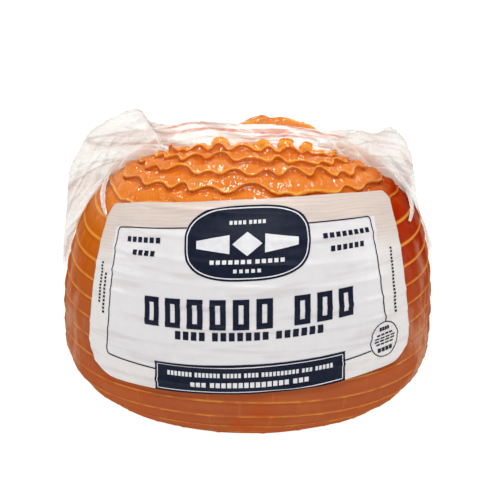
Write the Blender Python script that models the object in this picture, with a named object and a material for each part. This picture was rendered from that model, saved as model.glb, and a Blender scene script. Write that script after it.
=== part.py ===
"""Half of a netted smoked ham standing on its cut face, in a tight clear bag with a paper label."""
import bpy
import bmesh
import math
import numpy as np

MM = 0.001

# The ham's dome: a rounded oblong that is widest at the waist and cut flat below it
HALF_WIDTH = 72.5 * MM
HALF_DEPTH = 61.0 * MM
HEIGHT = 101.6 * MM
WAIST = 29.0 * MM
ROUND_UPPER = 2.8
ROUND_LOWER = 2.2
ROUND_PLAN = 2.28
CUT_SHARE = 0.79
LEAN = 0.012
LEAN_START = 40.0 * MM
REAR_HUMP = (10.5 * MM, 27.0 * MM, 4.6 * MM)
REAR_HUMP_SPAN = (14.5 * MM, 12.0 * MM)
SHOULDER = (63.0 * MM, 2.0 * MM, 84.0 * MM)
SHOULDER_SPAN = (14.0 * MM, 26.0 * MM, 14.0 * MM)
SHOULDER_RISE = 2.4 * MM

# The net's prints: rings from the floor edge to the crown, which closes on a short line along X
RING_PITCH_SIDE = 7.6 * MM
RING_PITCH_CROWN = 10.8 * MM
PITCH_CHANGE = (72.0 * MM, 112.0 * MM)
RING_START = 0.5
CROWN_LINE = 0.42
CROWN_SPREAD = 1.6
SCALLOPS = 20
SCALLOP_CROWD = 0.5
SCALLOP_TURN = 0.13
SCALLOP_REACH = 4.4 * MM
SCALLOP_GROWTH = 0.35
SCALLOP_LIFT = 1.1 * MM
LIFT_CHANGE = (114.0 * MM, 126.0 * MM)
LIP_SIDE = 0.6 * MM
LIP_CROWN = 2.4 * MM
LIP_CHANGE = (98.0 * MM, 118.0 * MM)
LIP_UNDER_FILM = 0.45
LIP_ROWS = (0.0, 0.34, 0.86)
COLUMNS_PER_SCALLOP = 4
SEED = 11

# The paper label on the front, before it is wrapped: sizes on the paper, places in the slanted view
LABEL_WIDTH = 134.0 * MM
LABEL_HEIGHT = 77.0 * MM
LABEL_CORNER_TOP = 6.0 * MM
LABEL_CORNERS_FOOT = (15.0 * MM, 11.0 * MM)
LABEL_DIP = 2.1 * MM
LABEL_THICK = 0.5 * MM
LABEL_CURL_FOOT = 84.0 * MM
LABEL_CURL_TOP = 52.0 * MM
LABEL_SAG = 37.5 * MM
LABEL_FOOT = 0.1 * MM
LABEL_RISE = 0.93
LABEL_TURN = 0.074
LABEL_LEAN = 0.033
LABEL_SHIFT = 0.9 * MM
LABEL_SLANT = math.radians(25)
LABEL_COLUMNS = 34
LABEL_ROWS = 22

# The bag's loose end: a crumpled fin over the crown with an ear at each end
FILM_THICK = 0.9 * MM
FILM_COLUMNS = 84
FILM_ROWS = 5
FILM_FOLDS = 9
FILM_RIPPLE = 1.4 * MM
FILM_LEAN_BACK = 6.0 * MM
CLEARANCE = 0.45 * MM
# outer edge of the fin seen from the front, from the left side over the top to the right side
FILM_EDGE_MM = (
    (-74.2, 46.0), (-73.4, 60.0), (-71.8, 76.0), (-70.2, 91.0), (-66.4, 99.0), (-60.7, 108.5),
    (-53.3, 113.2), (-43.7, 116.4), (-38.6, 112.4), (-29.0, 111.0), (-18.4, 113.2), (-4.0, 112.8),
    (12.0, 111.8), (27.0, 111.2), (39.0, 111.2), (46.8, 109.4), (52.8, 112.8), (58.6, 108.0),
    (62.2, 100.0), (63.8, 90.0), (65.4, 80.0), (69.2, 71.0), (72.2, 62.0), (73.4, 56.0),
)
FILM_MIDDLE = 40.0 * MM
FILM_LYING = (30.0 * MM, 46.0 * MM)


def smooth_step(value, low, high):
    share = np.clip((value - low) / (high - low), 0.0, 1.0)
    return share * share * (3.0 - 2.0 * share)


def signed_power(value, power):
    return np.sign(value) * np.abs(value) ** power


def dome_profile():
    """Width share, height and mean arc length from the floor edge to the crown."""
    first = math.asin(CUT_SHARE ** (ROUND_LOWER / 2))
    low = np.linspace(first, 0.0, 600)[:-1]
    high = np.linspace(0.0, math.pi / 2, 3000)
    share = np.concatenate([np.cos(low) ** (2 / ROUND_LOWER), np.cos(high) ** (2 / ROUND_UPPER)])
    share[-1] = 0.0
    height = np.concatenate([
        WAIST - WAIST / CUT_SHARE * np.sin(low) ** (2 / ROUND_LOWER),
        WAIST + (HEIGHT - WAIST) * np.sin(high) ** (2 / ROUND_UPPER),
    ])
    mean_radius = (HALF_WIDTH + HALF_DEPTH) / 2
    steps = np.hypot(np.diff(share) * mean_radius, np.diff(height))
    return share, height, np.concatenate([[0.0], np.cumsum(steps)])


SHARE, LEVEL, ARC = dome_profile()
ARC_WAIST = float(np.interp(WAIST, LEVEL, ARC))
ARC_TOP = float(ARC[-1])


def dome_point(angle, arc):
    """Point of the smooth dome at an angle round it and an arc length above the floor edge."""
    share = np.interp(arc, ARC, SHARE)
    level = np.interp(arc, ARC, LEVEL)
    upper = arc > ARC_WAIST
    spread = np.where(upper, CROWN_LINE * (1.0 - share) ** CROWN_SPREAD, 0.0)
    across = (share + spread) * signed_power(np.cos(angle), 2 / ROUND_PLAN)
    along = share * signed_power(np.sin(angle), 2 / ROUND_PLAN)
    reach = (np.abs(across) ** ROUND_PLAN + np.abs(along) ** ROUND_PLAN) ** (1 / ROUND_PLAN)
    true_level = WAIST + (HEIGHT - WAIST) * (
        1.0 - np.clip(reach, 0.0, 1.0) ** ROUND_UPPER) ** (1 / ROUND_UPPER)
    spread_shows = upper & (spread > 1e-5)
    level = np.where(spread_shows, true_level, level)
    return np.stack([HALF_WIDTH * across, HALF_DEPTH * along, level], -1)


def dome_normal(angle, arc):
    """Outward direction of the smooth dome."""
    turn, climb = 1e-3, 0.4 * MM
    lower = np.clip(arc - climb, 0.0, ARC_TOP - 2 * climb)
    around = dome_point(angle + turn, lower + climb) - dome_point(angle - turn, lower + climb)
    upward = dome_point(angle, lower + 2 * climb) - dome_point(angle, lower)
    normal = np.cross(around, upward)
    return normal / np.linalg.norm(normal, axis=-1, keepdims=True)


def shoulder(points):
    """How far the full shoulder pushes a point out sideways."""
    places = zip(np.moveaxis(points, -1, 0), SHOULDER, SHOULDER_SPAN)
    return SHOULDER_RISE * np.exp(-sum(((value - middle) / span) ** 2 for value, middle, span in places))


def settle(points):
    """The real ham's unevenness: a slight lean, a hump on the rear of the crown and a full shoulder."""
    out = points.copy()
    x, y, z = points[..., 0], points[..., 1], points[..., 2]
    out[..., 0] = x + LEAN * (z - LEAN_START)
    hump_x, hump_y, hump_rise = REAR_HUMP
    span_x, span_y = REAR_HUMP_SPAN
    bump = np.exp(-((x - hump_x) / span_x) ** 4 - ((y - hump_y) / span_y) ** 2)
    out[..., 2] = z + hump_rise * bump * smooth_step(z, WAIST, HEIGHT)
    out[..., 0] += shoulder(points)
    return out


def ring_scale():
    """Ring number along the arc: rings lie further apart towards the crown."""
    pitch = RING_PITCH_SIDE + (RING_PITCH_CROWN - RING_PITCH_SIDE) * smooth_step(ARC, *PITCH_CHANGE)
    steps = np.diff(ARC) / ((pitch[1:] + pitch[:-1]) / 2)
    return RING_START + np.concatenate([[0.0], np.cumsum(steps)])


RING = ring_scale()
RING_TOP = float(RING[-1])
LAST_RING = int(RING_TOP - 0.35)


def lip_height(arc):
    """How far the net's lips stand out: low on the sides, deep on top, pressed flat under the film."""
    pressed = 1.0 - LIP_UNDER_FILM * smooth_step(arc, ARC_TOP - RING_PITCH_CROWN, ARC_TOP)
    return LIP_SIDE + (LIP_CROWN * pressed - LIP_SIDE) * smooth_step(arc, *LIP_CHANGE)


def net_draws():
    """Each ring's uneven scallops: a reach for every scallop, and the places where they meet."""
    draws = np.random.default_rng(SEED)
    size = (LAST_RING + 2, SCALLOPS)
    return draws.uniform(0.55, 1.45, size), np.arange(SCALLOPS) + draws.uniform(-0.28, 0.28, size)


SCALLOP_SIZE, SCALLOP_MEETS = net_draws()


def scallop_wave(angle, ring):
    """Rise of one ring's lip in shares of its reach: uneven round arches with short low turns."""
    meets = np.append(SCALLOP_MEETS[ring], SCALLOP_MEETS[ring, 0] + SCALLOPS)
    size = SCALLOP_SIZE[ring] * (0.4 + 0.6 * np.diff(meets))
    turn = angle / (2 * math.pi) * SCALLOPS - SCALLOP_CROWD * np.sin(2 * angle) + 0.5 * (ring % 2)
    turn = (turn - meets[0]) % SCALLOPS + meets[0]
    place = np.interp(turn, meets, np.arange(SCALLOPS + 1.0))
    wave = np.full_like(place, -0.5)
    for shift in (-SCALLOP_TURN, 0.0, SCALLOP_TURN):
        here = (place + shift) % SCALLOPS
        cell = np.minimum(here.astype(int), SCALLOPS - 1)
        wave += np.sin(math.pi * np.clip(here - cell, 0.0, 1.0)) * size[cell] / 3
    return wave


def ham_surface(angle, ring):
    """Point of the ham's skin at an angle and a (fractional) ring number."""
    whole = np.clip(np.floor(ring).astype(int), 0, LAST_RING)
    part = np.clip(ring - whole, 0.0, 1.0)
    arc = np.interp(ring, RING, ARC)
    reach = SCALLOP_REACH * smooth_step(arc, *LIP_CHANGE) * smooth_step(RING_TOP - ring, 0.0, 1.2)
    reach = reach * (1.0 + SCALLOP_GROWTH * smooth_step(ring, LAST_RING - 3.0, LAST_RING - 1.0))
    wave, bulge = np.zeros_like(arc), np.zeros_like(arc)
    for number in range(0, LAST_RING + 2):
        weight = np.clip(1.0 - np.abs(ring - number), 0.0, 1.0)
        if weight.any():
            here = scallop_wave(angle, min(number, LAST_RING + 1))
            wave += weight * here
            bulge += smooth_step(1.0 - 2.5 * np.abs(ring - number), 0.0, 1.0) * (here + 0.5)
    room = 0.6 * (ARC_TOP - arc) + 0.01 * MM
    arc = np.clip(arc + room * np.tanh(reach * wave / room), 0.0, ARC_TOP)
    slope = np.clip(1.0 - part / LIP_ROWS[2], 0.0, 1.0) ** 1.2
    fall = np.where(part < LIP_ROWS[2], slope, (part - LIP_ROWS[2]) / (1.0 - LIP_ROWS[2]))
    held = smooth_step(ring, 0.4, 1.0) * (ring <= LAST_RING + 0.999)
    relief = (lip_height(arc) * fall + SCALLOP_LIFT * smooth_step(arc, *LIFT_CHANGE) * bulge) * held
    return settle(dome_point(angle, arc) + dome_normal(angle, arc) * relief[..., None])


def new_object(name, points, faces, colour, roughness):
    mesh = bpy.data.meshes.new(name)
    mesh.from_pydata([tuple(point) for point in points], [], faces)
    mesh.validate()
    mesh.update()
    mesh.shade_smooth()
    material = bpy.data.materials.new(name + "_finish")
    material.use_nodes = True
    shader = material.node_tree.nodes["Principled BSDF"]
    shader.inputs["Base Color"].default_value = (*colour, 1.0)
    shader.inputs["Roughness"].default_value = roughness
    mesh.materials.append(material)
    made = bpy.data.objects.new(name, mesh)
    bpy.context.scene.collection.objects.link(made)
    return made


def outward(made):
    shape = bmesh.new()
    shape.from_mesh(made.data)
    bmesh.ops.recalc_face_normals(shape, faces=shape.faces)
    shape.to_mesh(made.data)
    shape.free()


def make_ham():
    """The meat: rows that follow each ring's lip, a flat cut face, and a crown closed on a line."""
    columns = SCALLOPS * COLUMNS_PER_SCALLOP
    angles = np.arange(columns) * 2 * math.pi / columns
    rows = [RING_START]
    for ring in range(1, LAST_RING + 1):
        rows += [ring + share for share in LIP_ROWS if ring + share < RING_TOP - 0.04]
    points = []
    for row in rows:
        points += list(ham_surface(angles, np.full(columns, float(row))))
    half = columns // 2
    crown_angles = angles[:half + 1]
    crown = dome_point(crown_angles, np.full(half + 1, ARC_TOP))
    crown[:, 2] += LIP_CROWN / 3
    first_crown = len(points)
    points += list(settle(crown))
    faces = [tuple(reversed(range(columns)))]
    for row in range(len(rows) - 1):
        for column in range(columns):
            beside = (column + 1) % columns
            low, high = row * columns, (row + 1) * columns
            faces.append((low + column, low + beside, high + beside, high + column))
    last = (len(rows) - 1) * columns
    for column in range(columns):
        beside = (column + 1) % columns
        top = [first_crown + min(step, columns - step) for step in (column, column + 1)]
        faces.append((last + column, last + beside, top[1], top[0]))
    made = new_object("ham", points, faces, (0.72, 0.23, 0.05), 0.3)
    outward(made)
    return made


def front_section(side, turn):
    """Front profile in the upright plane at a side share: depth and height at a profile angle."""
    lower = turn < 0
    cosine, sine = np.cos(turn), np.abs(np.sin(turn))
    wide = np.where(lower, cosine ** (2 / ROUND_LOWER), cosine ** (2 / ROUND_UPPER))
    below = WAIST - WAIST / CUT_SHARE * sine ** (2 / ROUND_LOWER)
    above = WAIST + (HEIGHT - WAIST) * sine ** (2 / ROUND_UPPER)
    depth = np.clip(wide ** ROUND_PLAN - side ** ROUND_PLAN, 0.0, 1.0) ** (1 / ROUND_PLAN)
    return -HALF_DEPTH * depth, np.where(lower, below, above)


def front_point(x, slant_height):
    """Point of the dome's front at a given X and a given height in the slanted view."""
    side = np.abs(x) / HALF_WIDTH
    low = np.full_like(x, -math.asin(CUT_SHARE ** (ROUND_LOWER / 2)))
    high = np.full_like(x, math.pi / 2)
    for _ in range(40):
        middle = (low + high) / 2
        y, z = front_section(side, middle)
        above = z * math.cos(LABEL_SLANT) + y * math.sin(LABEL_SLANT) > slant_height
        high = np.where(above, middle, high)
        low = np.where(above, low, middle)
    y, z = front_section(side, (low + high) / 2)
    return np.stack([x, y, z], -1)


def arc_at(point):
    """Arc length above the floor edge of the ring line through a point of the dome."""
    x, y, z = (point[..., axis] for axis in range(3))
    low, high = np.full_like(x, 1e-4), np.ones_like(x)
    for _ in range(40):
        share = (low + high) / 2
        wide = share + CROWN_LINE * (1.0 - share) ** CROWN_SPREAD
        reach = (np.abs(x / HALF_WIDTH) / wide) ** ROUND_PLAN + np.abs(y / HALF_DEPTH / share) ** ROUND_PLAN
        outside = reach > 1.0
        low, high = np.where(outside, share, low), np.where(outside, high, share)
    upper = np.interp(1.0 - share, 1.0 - SHARE[ARC >= ARC_WAIST], ARC[ARC >= ARC_WAIST])
    return np.where(z > WAIST, upper, np.interp(z, LEVEL, ARC))


def label_point(across, up, lift):
    """Point over the ham's ridges at a place on the flat paper."""
    share = up / LABEL_HEIGHT
    curl = LABEL_CURL_FOOT + (LABEL_CURL_TOP - LABEL_CURL_FOOT) * share
    x = LABEL_SHIFT - LABEL_LEAN * (up - LABEL_HEIGHT / 2) + curl * np.sin(across / curl)
    sag = LABEL_SAG * (1.0 - share) * (1.0 - np.cos(across / curl))
    slant_height = LABEL_FOOT + LABEL_RISE * up + sag + LABEL_TURN * x
    small = 0.3 * MM
    here = front_point(x, slant_height)
    over = front_point(x, slant_height + small) - front_point(x, slant_height - small)
    beside = front_point(x + small, slant_height) - front_point(x - small, slant_height)
    normal = np.cross(beside, over)
    normal /= np.linalg.norm(normal, axis=-1, keepdims=True)
    height = lip_height(arc_at(here)) + CLEARANCE + lift
    return settle(here + normal * height[..., None])


def label_half_width(up, corner_foot):
    """Half the paper's width at a height on it, less its rounded corners."""
    half = np.full_like(up, LABEL_WIDTH / 2)
    for corner, from_edge in ((corner_foot, up), (LABEL_CORNER_TOP, LABEL_HEIGHT - up)):
        inside = np.clip(corner - from_edge, 0.0, corner)
        half -= corner - np.sqrt(corner ** 2 - inside ** 2)
    return half


def label_across(rows, columns):
    """Places across the paper on each row; the right foot corner is tighter than the left one."""
    left, right = (label_half_width(rows, corner) for corner in LABEL_CORNERS_FOOT)
    return np.where(columns < 0.0, np.outer(left, columns), np.outer(right, columns))


def sheet_faces(rows, columns):
    """Faces of a sheet's two sides and rim, its back points following its front points."""
    side = rows * columns
    faces = []
    for row in range(rows - 1):
        for column in range(columns - 1):
            first = row * columns + column
            ring = (first, first + 1, first + columns + 1, first + columns)
            faces.append(ring)
            faces.append(tuple(side + point for point in reversed(ring)))
    rim = list(range(columns))
    rim += [row * columns + columns - 1 for row in range(1, rows)]
    rim += [(rows - 1) * columns + column for column in range(columns - 2, -1, -1)]
    rim += [row * columns for row in range(rows - 2, 0, -1)]
    for first, second in zip(rim, rim[1:] + rim[:1]):
        faces.append((second, first, side + first, side + second))
    return faces


def make_label():
    """The paper label, wrapped over the ridges of the front."""
    rows = LABEL_HEIGHT / 2 * (1.0 - np.cos(np.linspace(0.0, math.pi, LABEL_ROWS)))
    columns = np.linspace(-1.0, 1.0, LABEL_COLUMNS)
    across = label_across(rows, columns)
    up = rows[:, None] - LABEL_DIP * (1.0 - columns ** 2) * (rows[:, None] / LABEL_HEIGHT) ** 4
    front = label_point(across, up, LABEL_THICK).reshape(-1, 3)
    back = label_point(across, up, 0.0).reshape(-1, 3)
    faces = sheet_faces(LABEL_ROWS, LABEL_COLUMNS)
    made = new_object("label", list(front) + list(back), faces, (0.82, 0.79, 0.76), 0.6)
    outward(made)
    return made


def film_root(x, z):
    """Where the line from the ham's middle to a point of the film's edge leaves the ham's side profile."""
    turn = np.linspace(0.0, math.pi, 2000)
    sight = np.arctan2(x, z - FILM_MIDDLE)
    side = -HALF_WIDTH * signed_power(np.cos(turn), 2 / ROUND_UPPER)
    level = WAIST + (HEIGHT - WAIST) * np.sin(turn) ** (2 / ROUND_UPPER)
    bearing = np.arctan2(side, level - FILM_MIDDLE)
    root_x, root_z = np.interp(sight, bearing, side), np.interp(sight, bearing, level)
    dome = np.stack([root_x, np.full_like(root_x, -0.01 * MM), root_z], -1)
    out = np.stack([x, np.zeros_like(x), z - FILM_MIDDLE], -1)
    out /= np.linalg.norm(out, axis=-1, keepdims=True)
    arc = arc_at(dome)
    pillow = 1.5 * SCALLOP_LIFT * smooth_step(arc + SCALLOP_REACH, *LIFT_CHANGE)
    lift = lip_height(arc) + pillow + CLEARANCE + FILM_THICK / 2
    return settle(dome + out * lift[..., None])


def smooth_line(points, count):
    """Even samples of a smooth curve through the given points."""
    points = np.asarray(points, float)
    padded = np.vstack([2 * points[0] - points[1], points, 2 * points[-1] - points[-2]])
    place = np.linspace(0.0, len(points) - 1.0, count)
    first = np.minimum(place.astype(int), len(points) - 2)
    part = (place - first)[:, None]
    before, start, end, after = (padded[first + step] for step in range(4))
    return 0.5 * (2 * start + (end - before) * part + (2 * before - 5 * start + 4 * end - after) * part ** 2
                  + (3 * start - before - 3 * end + after) * part ** 3)


def make_film():
    """The bag's loose end: a rippled fin that leans back over the crown, with an ear at each end."""
    edge = smooth_line(np.array(FILM_EDGE_MM) * MM, FILM_COLUMNS)
    x, z = edge[:, 0], edge[:, 1]
    root = film_root(x - LEAN * (z - LEAN_START), z)
    lying = 1.0 - smooth_step(np.abs(x), FILM_LYING[0], FILM_LYING[1])
    back = FILM_LEAN_BACK * lying
    tip = np.stack([x, back, z - back * math.tan(LABEL_SLANT)], -1)
    tip[:, 0] += 1.3 * shoulder(tip)
    place = np.linspace(0.0, 1.0, FILM_COLUMNS)
    draws = np.random.default_rng(SEED + 1)
    points = []
    for row in range(FILM_ROWS):
        share = row / (FILM_ROWS - 1)
        line = root + (tip - root) * share
        ripple = np.sin(2 * math.pi * (FILM_FOLDS * place + 0.15 * row))
        ripple += draws.uniform(-0.4, 0.4, FILM_COLUMNS)
        line[:, 1] += FILM_RIPPLE * ripple * (0.15 + 0.85 * share) * np.sin(math.pi * place) ** 0.5
        points.append(line)
    sheet = np.array(points)
    along = np.gradient(sheet, axis=1)
    outer = np.gradient(sheet, axis=0)
    normal = np.cross(along, outer)
    normal /= np.linalg.norm(normal, axis=-1, keepdims=True)
    front = (sheet - normal * FILM_THICK / 2).reshape(-1, 3)
    rear = (sheet + normal * FILM_THICK / 2).reshape(-1, 3)
    faces = sheet_faces(FILM_ROWS, FILM_COLUMNS)
    made = new_object("bag_film", list(front) + list(rear), faces, (0.9, 0.9, 0.9), 0.15)
    outward(made)
    return made


def main():
    for old in list(bpy.data.objects):
        bpy.data.objects.remove(old, do_unlink=True)
    make_ham()
    make_label()
    make_film()


main()
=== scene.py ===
"""Looks of the smoked ham: netted meat in a tight clear bag, the bag's crumpled fin and a paper label."""
import math

import bpy
import numpy as np
from mathutils import Matrix, Vector


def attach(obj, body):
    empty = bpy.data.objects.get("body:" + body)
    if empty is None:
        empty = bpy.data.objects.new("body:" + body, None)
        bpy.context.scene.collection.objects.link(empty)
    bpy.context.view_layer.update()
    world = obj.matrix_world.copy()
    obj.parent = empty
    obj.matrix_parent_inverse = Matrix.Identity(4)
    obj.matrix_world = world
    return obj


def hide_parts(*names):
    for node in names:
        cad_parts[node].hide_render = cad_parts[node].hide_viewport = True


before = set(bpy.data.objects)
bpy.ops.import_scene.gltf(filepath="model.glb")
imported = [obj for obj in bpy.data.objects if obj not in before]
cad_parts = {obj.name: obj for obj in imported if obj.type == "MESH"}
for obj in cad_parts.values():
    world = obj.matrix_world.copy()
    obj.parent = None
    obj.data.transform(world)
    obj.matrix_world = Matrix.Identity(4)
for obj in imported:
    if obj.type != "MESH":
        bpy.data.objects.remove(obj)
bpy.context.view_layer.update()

MM = 0.001

# The ham's dome, as in the part: a rounded oblong, widest at the waist and cut flat below it
HALF_WIDTH = 72.5 * MM
HALF_DEPTH = 61.0 * MM
HEIGHT = 101.6 * MM
WAIST = 29.0 * MM
ROUND_UPPER = 2.8
ROUND_LOWER = 2.2
ROUND_PLAN = 2.28
CUT_SHARE = 0.79
LEAN = 0.012
LEAN_START = 40.0 * MM
REAR_HUMP = (10.5 * MM, 27.0 * MM, 4.6 * MM)
REAR_HUMP_SPAN = (14.5 * MM, 12.0 * MM)
SHOULDER = (63.0 * MM, 2.0 * MM, 84.0 * MM)
SHOULDER_SPAN = (14.0 * MM, 26.0 * MM, 14.0 * MM)
SHOULDER_RISE = 2.4 * MM

# The net's prints, as in the part
RING_PITCH_SIDE = 7.6 * MM
RING_PITCH_CROWN = 10.8 * MM
PITCH_CHANGE = (72.0 * MM, 112.0 * MM)
RING_START = 0.5
CROWN_LINE = 0.42
CROWN_SPREAD = 1.6
SCALLOPS = 20
SCALLOP_CROWD = 0.5
SCALLOP_TURN = 0.13
SCALLOP_REACH = 4.4 * MM
SCALLOP_GROWTH = 0.35
SCALLOP_LIFT = 1.1 * MM
LIFT_CHANGE = (114.0 * MM, 126.0 * MM)
LIP_SIDE = 0.6 * MM
LIP_CROWN = 2.4 * MM
LIP_CHANGE = (98.0 * MM, 118.0 * MM)
LIP_UNDER_FILM = 0.45
SEED = 11

# The paper label, as in the part
LABEL_WIDTH = 134.0 * MM
LABEL_HEIGHT = 77.0 * MM
LABEL_CORNER_TOP = 6.0 * MM
LABEL_CORNERS_FOOT = (15.0 * MM, 11.0 * MM)
LABEL_DIP = 2.1 * MM
LABEL_THICK = 0.5 * MM
LABEL_CURL_FOOT = 84.0 * MM
LABEL_CURL_TOP = 52.0 * MM
LABEL_SAG = 37.5 * MM
LABEL_FOOT = 0.1 * MM
LABEL_RISE = 0.93
LABEL_TURN = 0.074
LABEL_LEAN = 0.033
LABEL_SHIFT = 0.9 * MM
LABEL_SLANT = math.radians(25)

# The bag's loose end, as in the part
FILM_FOLDS = 9
FILM_RIPPLE = 1.4 * MM
FILM_LEAN_BACK = 6.0 * MM
CLEARANCE = 0.45 * MM
FILM_EDGE_MM = (
    (-74.2, 46.0), (-73.4, 60.0), (-71.8, 76.0), (-70.2, 91.0), (-66.4, 99.0), (-60.7, 108.5),
    (-53.3, 113.2), (-43.7, 116.4), (-38.6, 112.4), (-29.0, 111.0), (-18.4, 113.2), (-4.0, 112.8),
    (12.0, 111.8), (27.0, 111.2), (39.0, 111.2), (46.8, 109.4), (52.8, 112.8), (58.6, 108.0),
    (62.2, 100.0), (63.8, 90.0), (65.4, 80.0), (69.2, 71.0), (72.2, 62.0), (73.4, 56.0),
)
FILM_MIDDLE = 40.0 * MM
FILM_LYING = (30.0 * MM, 46.0 * MM)

# Fineness of the meshes
MEAT_COLUMNS = 384
PAPER_COLUMNS = 236
PAPER_ROWS = 138
FIN_COLUMNS = 560
FIN_ROWS = 64
FIN_THICK = 0.22 * MM
PRINT_CELL = 0.55 * MM
PRINT_LIFT = 0.14 * MM

# One pillow of meat from its lip up to the next lip, as rows of
# (way, climb on top, rise on top, cord on top, climb at the side, rise at the side, cord at the side):
# climb is a share of the ring pitch, rise a share of the lip height
PILLOW = (
    (0.00, -0.030, 0.62, 0.50, 0.000, 1.00, 1.00),
    (0.03, -0.010, 0.80, 1.00, 0.040, 0.92, 0.90),
    (0.07, 0.024, 0.84, 1.00, 0.080, 0.55, 0.35),
    (0.12, 0.075, 0.66, 0.35, 0.120, 0.20, 0.00),
    (0.17, 0.130, 0.64, 0.00, 0.170, 0.26, 0.00),
    (0.25, 0.220, 0.82, 0.00, 0.250, 0.32, 0.00),
    (0.40, 0.380, 0.90, 0.00, 0.400, 0.42, 0.00),
    (0.55, 0.540, 0.78, 0.00, 0.550, 0.42, 0.00),
    (0.70, 0.700, 0.50, 0.00, 0.700, 0.34, 0.00),
    (0.82, 0.830, 0.18, 0.00, 0.820, 0.20, 0.00),
    (0.90, 0.935, 0.00, 0.00, 0.885, 0.16, 0.00),
    (0.95, 0.985, 0.10, 0.00, 0.930, 0.45, 0.30),
    (0.98, 0.962, 0.45, 0.00, 0.965, 0.85, 0.85),
)


def smooth_step(value, low, high):
    share = np.clip((value - low) / (high - low), 0.0, 1.0)
    return share * share * (3.0 - 2.0 * share)


def signed_power(value, power):
    return np.sign(value) * np.abs(value) ** power


def unit(vectors):
    return vectors / np.linalg.norm(vectors, axis=-1, keepdims=True)


def random_field(u, v, period, seed):
    """Smooth seeded noise from -1 to 1, one value to a cell; along u it repeats after the period."""
    values = np.random.default_rng(seed).uniform(-1.0, 1.0, (period, 61))
    first_u, first_v = np.floor(u).astype(int), np.floor(v).astype(int)
    part_u, part_v = smooth_step(u - first_u, 0.0, 1.0), smooth_step(v - first_v, 0.0, 1.0)
    total = 0.0
    for step_u, weight_u in ((0, 1.0 - part_u), (1, part_u)):
        for step_v, weight_v in ((0, 1.0 - part_v), (1, part_v)):
            value = values[(first_u + step_u) % period, (first_v + step_v) % 61]
            total = total + weight_u * weight_v * value
    return total


def line_noise(place, cells, seed, period=61):
    """Seeded noise along a line."""
    return random_field(place * cells, np.zeros_like(place), period, seed)


def dome_profile():
    """Width share, height and mean arc length from the floor edge to the crown."""
    first = math.asin(CUT_SHARE ** (ROUND_LOWER / 2))
    low = np.linspace(first, 0.0, 600)[:-1]
    high = np.linspace(0.0, math.pi / 2, 3000)
    share = np.concatenate([np.cos(low) ** (2 / ROUND_LOWER), np.cos(high) ** (2 / ROUND_UPPER)])
    share[-1] = 0.0
    height = np.concatenate([
        WAIST - WAIST / CUT_SHARE * np.sin(low) ** (2 / ROUND_LOWER),
        WAIST + (HEIGHT - WAIST) * np.sin(high) ** (2 / ROUND_UPPER),
    ])
    mean_radius = (HALF_WIDTH + HALF_DEPTH) / 2
    steps = np.hypot(np.diff(share) * mean_radius, np.diff(height))
    return share, height, np.concatenate([[0.0], np.cumsum(steps)])


SHARE, LEVEL, ARC = dome_profile()
ARC_WAIST = float(np.interp(WAIST, LEVEL, ARC))
ARC_TOP = float(ARC[-1])


def dome_point(angle, arc):
    """Point of the smooth dome at an angle round it and an arc length above the floor edge."""
    share = np.interp(arc, ARC, SHARE)
    level = np.interp(arc, ARC, LEVEL)
    upper = arc > ARC_WAIST
    spread = np.where(upper, CROWN_LINE * (1.0 - share) ** CROWN_SPREAD, 0.0)
    across = (share + spread) * signed_power(np.cos(angle), 2 / ROUND_PLAN)
    along = share * signed_power(np.sin(angle), 2 / ROUND_PLAN)
    reach = (np.abs(across) ** ROUND_PLAN + np.abs(along) ** ROUND_PLAN) ** (1 / ROUND_PLAN)
    true_level = WAIST + (HEIGHT - WAIST) * (
        1.0 - np.clip(reach, 0.0, 1.0) ** ROUND_UPPER) ** (1 / ROUND_UPPER)
    level = np.where(upper & (spread > 1e-5), true_level, level)
    return np.stack([HALF_WIDTH * across, HALF_DEPTH * along, level], -1)


def dome_normal(angle, arc):
    """Outward direction of the smooth dome."""
    turn, climb = 1e-3, 0.4 * MM
    lower = np.clip(arc - climb, 0.0, ARC_TOP - 2 * climb)
    around = dome_point(angle + turn, lower + climb) - dome_point(angle - turn, lower + climb)
    upward = dome_point(angle, lower + 2 * climb) - dome_point(angle, lower)
    return unit(np.cross(around, upward))


def above_dome(angle, arc, lift):
    return dome_point(angle, arc) + dome_normal(angle, arc) * lift[..., None]


def shoulder(points):
    """How far the full shoulder pushes a point out sideways."""
    places = zip(np.moveaxis(points, -1, 0), SHOULDER, SHOULDER_SPAN)
    return SHOULDER_RISE * np.exp(-sum(((value - middle) / span) ** 2 for value, middle, span in places))


def settle(points):
    """The real ham's unevenness: a slight lean, a hump on the rear of the crown and a full shoulder."""
    out = points.copy()
    x, y, z = points[..., 0], points[..., 1], points[..., 2]
    out[..., 0] = x + LEAN * (z - LEAN_START)
    hump_x, hump_y, hump_rise = REAR_HUMP
    span_x, span_y = REAR_HUMP_SPAN
    bump = np.exp(-((x - hump_x) / span_x) ** 4 - ((y - hump_y) / span_y) ** 2)
    out[..., 2] = z + hump_rise * bump * smooth_step(z, WAIST, HEIGHT)
    out[..., 0] += shoulder(points)
    return out


def ring_scale():
    """Ring number along the arc: rings lie further apart towards the crown."""
    pitch = RING_PITCH_SIDE + (RING_PITCH_CROWN - RING_PITCH_SIDE) * smooth_step(ARC, *PITCH_CHANGE)
    steps = np.diff(ARC) / ((pitch[1:] + pitch[:-1]) / 2)
    return RING_START + np.concatenate([[0.0], np.cumsum(steps)])


RING = ring_scale()
RING_TOP = float(RING[-1])
LAST_RING = int(RING_TOP - 0.35)


def lip_height(arc):
    """How far the net's lips stand out: low on the sides, deep on top, pressed flat under the film."""
    pressed = 1.0 - LIP_UNDER_FILM * smooth_step(arc, ARC_TOP - RING_PITCH_CROWN, ARC_TOP)
    return LIP_SIDE + (LIP_CROWN * pressed - LIP_SIDE) * smooth_step(arc, *LIP_CHANGE)


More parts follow.
